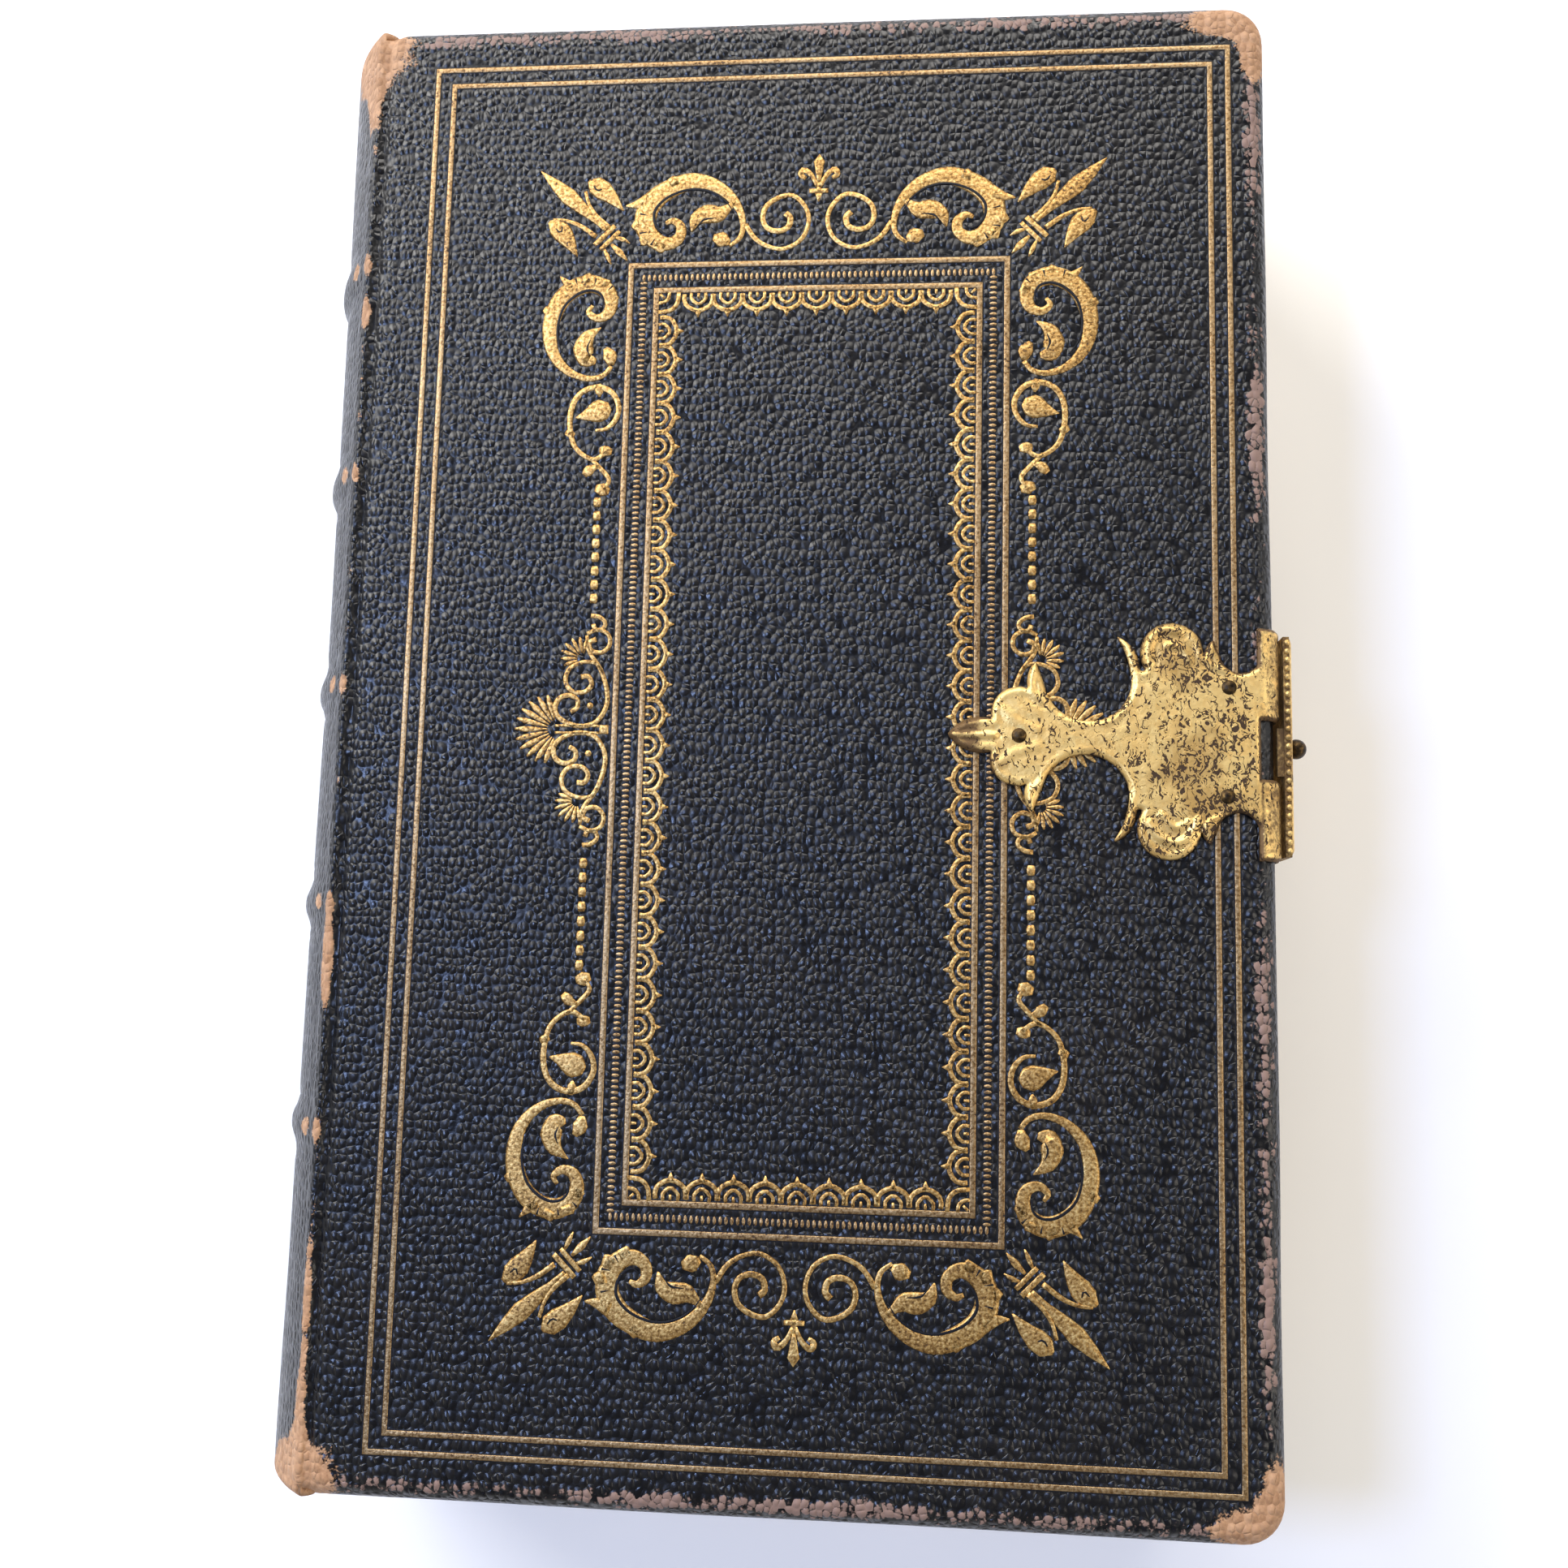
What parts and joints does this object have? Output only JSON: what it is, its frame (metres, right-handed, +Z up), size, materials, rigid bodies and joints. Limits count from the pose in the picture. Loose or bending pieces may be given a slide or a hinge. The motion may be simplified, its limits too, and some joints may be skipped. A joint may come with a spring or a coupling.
{
  "type": "antique leather book",
  "caption": "Closed full-leather hardback book with raised bands on a rounded back, hinged covers and a hinged brass clasp that holds the fore edge shut.",
  "frame": {"origin": "centre of the rear cover's outer face, on which the closed book rests", "axes": "+Z up out of the front cover, +Y towards the head of the book, +X towards the fore edge"},
  "size_m": [0.1593, 0.231, 0.0514],
  "materials": {
    "dark_morocco": "pebbled goatskin, nearly black, worn tan at corners and joint, gold tooled",
    "millboard": "matt, hidden",
    "endpaper": "plain laid paper, aged",
    "leaves": "close packed leaves with dulled edges",
    "linen_cord": "twisted, hidden",
    "lining_paper": "glued, hidden",
    "sewn_silk": "sewn silk over a core",
    "gilt_brass": "gilt, pitted and worn, brown in the hollows",
    "dark_pin_brass": "tarnished dark"
  },
  "bodies": {
    "book_block": {"text_block": "leaves", "front_free_endpaper": "endpaper", "rear_free_endpaper": "endpaper", "spine_leather": "dark_morocco", "headband": "sewn_silk", "tailband": "sewn_silk", "sewing_cord_1": "linen_cord", "sewing_cord_2": "linen_cord", "sewing_cord_3": "linen_cord", "sewing_cord_4": "linen_cord", "sewing_cord_5": "linen_cord", "spine_lining_1": "lining_paper", "spine_lining_2": "lining_paper", "spine_lining_3": "lining_paper", "spine_lining_4": "lining_paper", "spine_lining_5": "lining_paper", "spine_lining_6": "lining_paper"},
    "front_cover": {"front_leather": "dark_morocco", "front_board": "millboard", "front_pastedown": "endpaper", "front_clasp_plate": "gilt_brass", "front_plate_pin_1": "dark_pin_brass", "front_plate_pin_2": "dark_pin_brass", "front_plate_pin_3": "dark_pin_brass"},
    "rear_cover": {"rear_leather": "dark_morocco", "rear_board": "millboard", "rear_pastedown": "endpaper", "rear_clasp_plate": "gilt_brass", "rear_plate_pin_1": "dark_pin_brass", "rear_plate_pin_2": "dark_pin_brass", "clasp_hinge_pin": "gilt_brass"},
    "clasp_arm": {"clasp_arm": "gilt_brass", "clasp_knob": "gilt_brass"}
  },
  "joints": [
    {"name": "front_cover_hinge", "type": "hinge", "parent": "book_block", "child": "front_cover", "pos_m": [-0.0713, 0, 0.0496], "axis": [0, -1, 0], "range_deg": [0, 175]},
    {"name": "rear_cover_hinge", "type": "hinge", "parent": "book_block", "child": "rear_cover", "pos_m": [-0.0713, 0, 0.0004], "axis": [0, 1, 0], "range_deg": [0, 175]},
    {"name": "clasp_arm_hinge", "type": "hinge", "parent": "rear_cover", "child": "clasp_arm", "pos_m": [0.0738, -0.0023, 0.0036], "axis": [0, 1, 0], "range_deg": [0, 180]}
  ]
}
